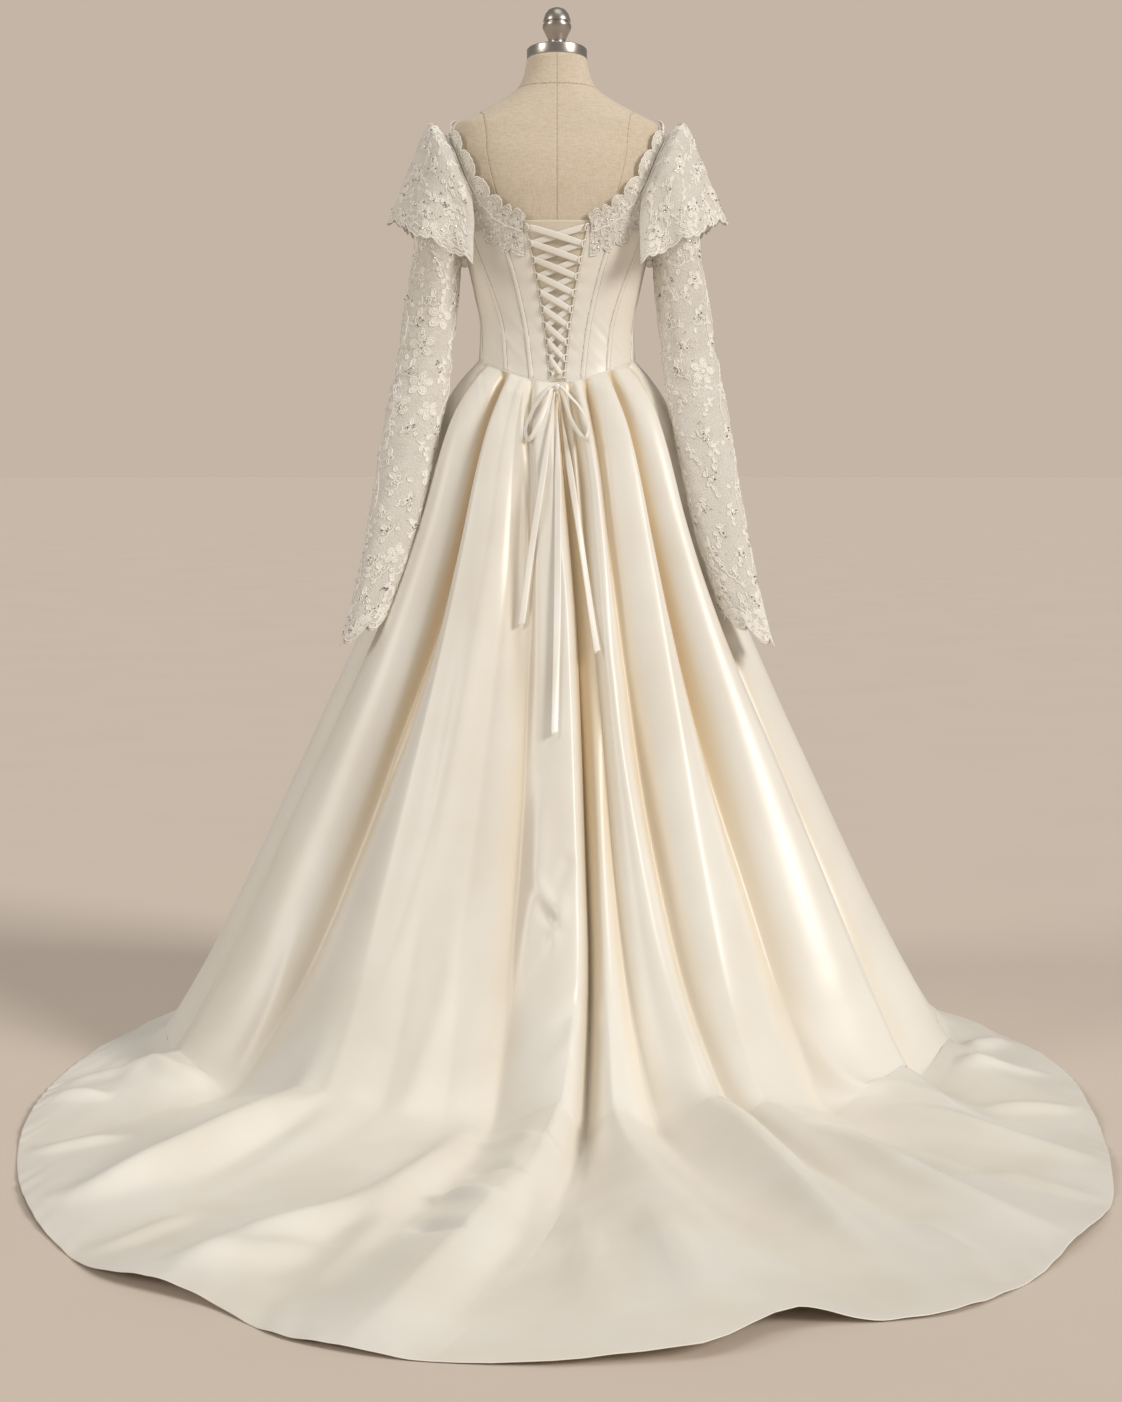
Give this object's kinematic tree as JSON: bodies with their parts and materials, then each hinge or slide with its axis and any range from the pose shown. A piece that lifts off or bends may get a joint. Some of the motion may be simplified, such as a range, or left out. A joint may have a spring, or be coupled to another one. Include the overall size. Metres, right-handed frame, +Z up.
{
  "type": "wedding dress on dress form",
  "caption": "Long-sleeved satin and lace wedding dress with a laced back, a bow and a chapel train, standing on a limbless dress form with a round base.",
  "frame": {"origin": "Centre of the flat underside of the stand's base, on the floor and on the axis of the form.", "axes": "+Z up. The gown's laced back and its train face -Y and its front faces +Y. +X is the wearer's right."},
  "size_m": [1.5438, 1.9268, 1.6506],
  "materials": {
    "ivory_satin": "Heavy duchess satin with a soft sheen, and cord loops of the same satin.",
    "corded_lace": "Corded flower and leaf lace on fine see-through tulle, with scattered sequins and beads.",
    "satin_ribbon": "Narrow double-faced satin ribbon.",
    "linen_cover": "Plain-woven natural linen over padding.",
    "brushed_nickel": "Brushed nickel with a warm grey tone."
  },
  "bodies": {
    "root": {"form_torso": "linen_cover", "neck_cap": "brushed_nickel", "finial": "brushed_nickel", "stand_pole": "brushed_nickel", "stand_base": "brushed_nickel", "bodice_back_l": "ivory_satin", "bodice_back_r": "ivory_satin", "bodice_side_back_l": "ivory_satin", "bodice_side_back_r": "ivory_satin", "bodice_side_l": "ivory_satin", "bodice_side_r": "ivory_satin", "bodice_side_front_l": "ivory_satin", "bodice_side_front_r": "ivory_satin", "bodice_front_l": "ivory_satin", "bodice_front_r": "ivory_satin", "bodice_centre_front": "ivory_satin", "boning_back_l": "ivory_satin", "boning_back_r": "ivory_satin", "boning_side_back_l": "ivory_satin", "boning_side_back_r": "ivory_satin", "boning_side_l": "ivory_satin", "boning_side_r": "ivory_satin", "boning_side_front_l": "ivory_satin", "boning_side_front_r": "ivory_satin", "modesty_panel": "ivory_satin", "loops_l": "ivory_satin", "loops_r": "ivory_satin", "lacing_from_left": "satin_ribbon", "lacing_from_right": "satin_ribbon", "bow_knot": "satin_ribbon", "bow_loop_l": "satin_ribbon", "bow_loop_r": "satin_ribbon", "bow_tail_l": "satin_ribbon", "bow_tail_centre": "satin_ribbon", "bow_tail_r": "satin_ribbon", "neckline_lace_l": "corded_lace", "neckline_lace_r": "corded_lace", "sleeve_l": "corded_lace", "sleeve_r": "corded_lace", "flounce_l": "corded_lace", "flounce_r": "corded_lace", "skirt_front": "ivory_satin", "skirt_side_l": "ivory_satin", "skirt_side_r": "ivory_satin", "skirt_back_l": "ivory_satin", "skirt_back_r": "ivory_satin"}
  },
  "joints": []
}
